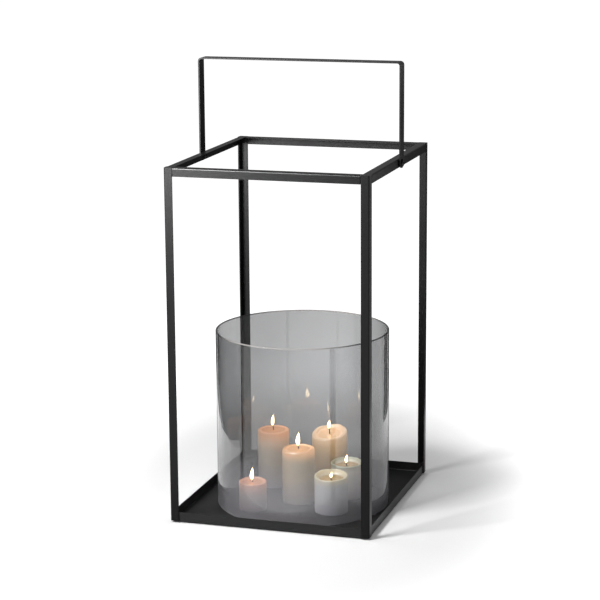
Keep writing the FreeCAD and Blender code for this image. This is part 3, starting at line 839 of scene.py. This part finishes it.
# Colours by share of the height, from the foot to the tip.
FLAME_COLOURS = [(0.0, (0.40, 0.20, 0.08)), (0.18, (0.80, 0.46, 0.18)), (0.36, (1.0, 0.80, 0.50)),
                 (0.75, (1.0, 0.76, 0.42)), (1.0, (1.0, 0.50, 0.14))]
# The drop fades in between these shares of its height.
CLEAR_TO, FULL_FROM = -0.02, 0.30


def flame_finish(name, foot, height):
    """Glowing gas in a drop of this height, clear at its foot."""
    fire = Finish(name, Specular_IOR_Level=0.0, Roughness=1.0, Emission_Strength=FLAME_STRENGTH)
    fire.put("Base Color", (0.0, 0.0, 0.0, 1.0))
    z = fire.axes()[2]
    level = (z - foot) / height
    fire.put("Emission Color", fire.ramp(level, FLAME_COLOURS))
    fire.put("Alpha", fire.smooth(level, CLEAR_TO, FULL_FROM))
    return fire


print("colours in a flame:", len(FLAME_COLOURS))

# %% Flame shape
# Powers that move a sine's belly down and draw out its ends.
FLAME_SKEW, FLAME_SLIMNESS = 0.78, 1.25
LEAN, BELLY = 1.6 * MM, 0.5 * MM


def flame_outline(height, width):
    """A drop: widest two fifths of the way up, with a long point."""
    steps = 20
    points = []
    for step in range(steps + 1):
        along = step / steps
        swell = max(0.0, math.sin(math.pi * along ** FLAME_SKEW)) ** FLAME_SLIMNESS
        points.append((width / 2 * swell if 0 < step < steps else 0.0, height * along))
    return points


def bend_flame(drop, height):
    """Pushes the tip to the right and the middle a little to the left."""
    for vert in drop.verts:
        along = vert.co.z / height
        vert.co.x += LEAN * along ** 2 - BELLY * math.sin(math.pi * along)


print("a flame's tip leans, mm:", round(LEAN / MM, 1))

# %% Light the candles
LAMP_COLOUR = (1.0, 0.55, 0.22)
# The power, in watts, is for a flame of this height, and a higher flame has more. The lamp sits at
# this share of the flame's height.
LAMP_POWER, LAMP_FLAME = 0.005, 20.0 * MM
LAMP_LEVEL = 0.45

for name, look in FLAMES.items():
    tip = wick_line(name, look)[-1]
    foot = pool_heights[name] + look["foot"] * MM
    height, width = look["height"] * MM, look["width"] * MM
    drop = turned(flame_outline(height, width), steps=28)
    bend_flame(drop, height)
    bmesh.ops.translate(drop, verts=drop.verts, vec=(tip.x, tip.y, foot))
    flame = finish_piece(drop, f"flame_{name}", flame_finish(f"flame_{name}", foot, height),
                         f"candle_{name}")
    flame.visible_shadow = False
    flame.visible_diffuse = False
    lamp = bpy.data.lights.new(f"flame_lamp_{name}", "POINT")
    lamp.energy = LAMP_POWER * height / LAMP_FLAME
    lamp.color = LAMP_COLOUR
    lamp.shadow_soft_size = width / 2
    holder = bpy.data.objects.new(f"flame_lamp_{name}", lamp)
    bpy.context.scene.collection.objects.link(holder)
    holder.location = (tip.x, tip.y, foot + height * LAMP_LEVEL)
    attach(holder, f"candle_{name}")
print("flames:", len(FLAMES))

# %% [markdown]
# ## The floor
# In a product studio a white floor runs on until it is the background. This one is sixty metres wide
# for the same reason. A floor lit by lamps alone comes out grey far away, and more light would bleach
# the lantern, so the floor adds a glow of its own that only the eye and mirrors see. Round the lantern,
# in an oval that lies along the view, there is no glow, and the plain chalk keeps the shadow.


# %% Panels of the stage
def stage_panel(name, centre, size, normal):
    """A flat rectangle that isn't part of the lantern."""
    shape = bmesh.new()
    bmesh.ops.create_grid(shape, x_segments=1, y_segments=1, size=0.5)
    bmesh.ops.scale(shape, verts=shape.verts, vec=(*size, 1.0))
    mesh = bpy.data.meshes.new(name)
    shape.to_mesh(mesh)
    shape.free()
    panel = bpy.data.objects.new(name, mesh)
    bpy.context.scene.collection.objects.link(panel)
    panel.location = centre
    panel.rotation_mode = "QUATERNION"
    panel.rotation_quaternion = Vector(normal).to_track_quat("Z", "Y")
    panel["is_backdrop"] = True
    return panel


print("the stage can be built")

# %% Floor
FLOOR_WIDTH = 60.0
# Cosine and sine of the 17 degrees by which the oval is turned, its half axes in metres, and where its
# edge starts and ends, as shares of them.
OVAL_COS, OVAL_SIN = 0.956, 0.292
OVAL_WIDTH, OVAL_DEPTH = 0.38, 0.68
OVAL_START, OVAL_END = 0.66, 1.40


def floor_finish(shade, far):
    """White to the eye away from the lantern, and plain chalk where the lantern shades it."""
    floor = Finish("studio_floor")
    rays = floor.node("LightPath").socket.node.outputs
    seen = [Wire(floor, rays[ray]) for ray in ("Is Camera Ray", "Is Glossy Ray", "Is Transmission Ray")]
    x, y, _ = floor.axes()
    sideways = (x * OVAL_COS + y * OVAL_SIN) / OVAL_WIDTH
    deep = (y * OVAL_COS - x * OVAL_SIN) / OVAL_DEPTH
    glow = floor.smooth((sideways * sideways + deep * deep) ** 0.5, OVAL_START, OVAL_END)
    chalk = floor.node("BsdfDiffuse", {}, {"Color": (shade, shade, shade, 1.0)})
    light = floor.node("Emission", {}, {"Color": (1.0, 1.0, 1.0, 1.0), "Strength": far})
    bright = floor.node("AddShader", {}, {0: chalk, 1: light})
    floor.surface(floor.mix_shaders(floor.clamp(seen[0] + seen[1] + seen[2]) * glow, chalk, bright))
    return floor


ground = stage_panel("studio_floor", (0.0, 0.0, 0.0), (FLOOR_WIDTH, FLOOR_WIDTH), (0, 0, 1))
paint(ground, floor_finish(shade=0.80, far=0.64))
print("floor, metres wide:", FLOOR_WIDTH)

# %% [markdown]
# ## Cards that only mirrors see
# Black paint and glass show little but what they mirror. So a photographer stands cards round the
# thing: dark ones, called flags, that keep it black and draw its edges, and bright ones for a highlight.
# Here four flags stand behind and beside the lantern and two bright cards hang at the front left. The
# two flags behind give a faint light, so that they mirror as dark grey. All six are hidden from the eye
# and from diffuse light, so only gloss finds them.


# %% Flags and bright cards
def mirror_card(name, centre, size, normal, shade=0.004, light=0.0):
    """A card that nothing but mirrors can see."""
    card = stage_panel(name, centre, size, normal)
    cloth = Finish(name, Specular_IOR_Level=0.0, Roughness=1.0, Emission_Strength=light)
    cloth.put("Base Color", (shade, shade, shade, 1.0))
    cloth.put("Emission Color", (1.0, 1.0, 1.0, 1.0))
    paint(card, cloth)
    card.visible_camera = card.visible_diffuse = card.visible_transmission = card.visible_shadow = False


def flag(name, start, end, height, light=0.0):
    """A black card that stands on the floor between two points."""
    along = Vector(end) - Vector(start)
    middle = (Vector(start) + Vector(end)) / 2
    mirror_card(name, (*middle, height / 2), (along.length, height), (along.y, -along.x, 0), light=light)


NEAR_CORNER, FAR_CORNER = (0.405, 0.46), (0.62, 1.40)
flag("flag_left", start=(-0.52, -0.26), end=(-0.71, 1.60), height=0.30)
flag("flag_right", start=NEAR_CORNER, end=FAR_CORNER, height=0.65)
flag("flag_behind", start=NEAR_CORNER, end=(-0.15, 1.00), height=0.60, light=0.08)
flag("flag_back", start=FAR_CORNER, end=(-0.35, 2.70), height=0.68, light=0.08)
mirror_card("glow_card_low", centre=(-0.72, -1.35, 0.55), size=(0.50, 0.32), normal=(0.45, 1.0, 0.0),
            light=38.0)
mirror_card("glow_card_high", centre=(-0.72, -1.25, 1.25), size=(0.60, 0.50),
            normal=(0.45, 1.0, -0.55), light=225.0)

# %% [markdown]
# ## Lamp and world
# One soft lamp stands high at the front left, half a metre wide, so that the shadow falls to the back
# right and has a soft edge. The world lights everything a little from all round. It is dimmer in
# mirrors, which keeps the paint black, and plain white to the eye, where a low view looks past the
# floor.


# %% Lamp
def soft_lamp(name, place, aim, size, power):
    """A rectangle of light, with its power in watts."""
    lamp = bpy.data.lights.new(name, "AREA")
    lamp.shape = "RECTANGLE"
    lamp.size, lamp.size_y = size
    lamp.energy = power
    holder = bpy.data.objects.new(name, lamp)
    bpy.context.scene.collection.objects.link(holder)
    holder.location = place
    holder.rotation_mode = "QUATERNION"
    holder.rotation_quaternion = (Vector(aim) - Vector(place)).to_track_quat("-Z", "Y")
    holder.visible_camera = False
    return holder


key = soft_lamp("key_front_left", place=(-0.78, -1.18, 1.90), aim=(0.0, 0.0, 0.25), size=(0.50, 0.50),
                power=46.0)
print("key lamp, watts:", key.data.energy)


# %% World
class Sky(Finish):
    """The world's own graph, written in the same way."""

    def __init__(self, world):
        world.use_nodes = True
        self.tree = world.node_tree


def light_world(plain, mirrored):
    """Plain light from all round; mirrors see it dimmer, and the eye sees white."""
    world = bpy.data.worlds.new("studio")
    sky = Sky(world)
    rays = sky.node("LightPath").socket.node.outputs
    eye = Wire(sky, rays["Is Camera Ray"]) + Wire(sky, rays["Is Transmission Ray"])
    level = Wire(sky, rays["Is Glossy Ray"]) * (mirrored - plain) + eye * (1.0 - plain) + plain
    background = sky.tree.nodes["Background"]
    background.inputs["Color"].default_value = (1.0, 1.0, 1.0, 1.0)
    sky.feed(background.inputs["Strength"], level)
    bpy.context.scene.world = world


light_world(plain=0.50, mirrored=0.26)
bpy.context.scene.view_settings.view_transform = "Standard"
print("lamps in all:", len(bpy.data.lights))

# %% [markdown]
# ## Measure
# The box round the dressed lantern is measured.

# %% Sizes
low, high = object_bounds()
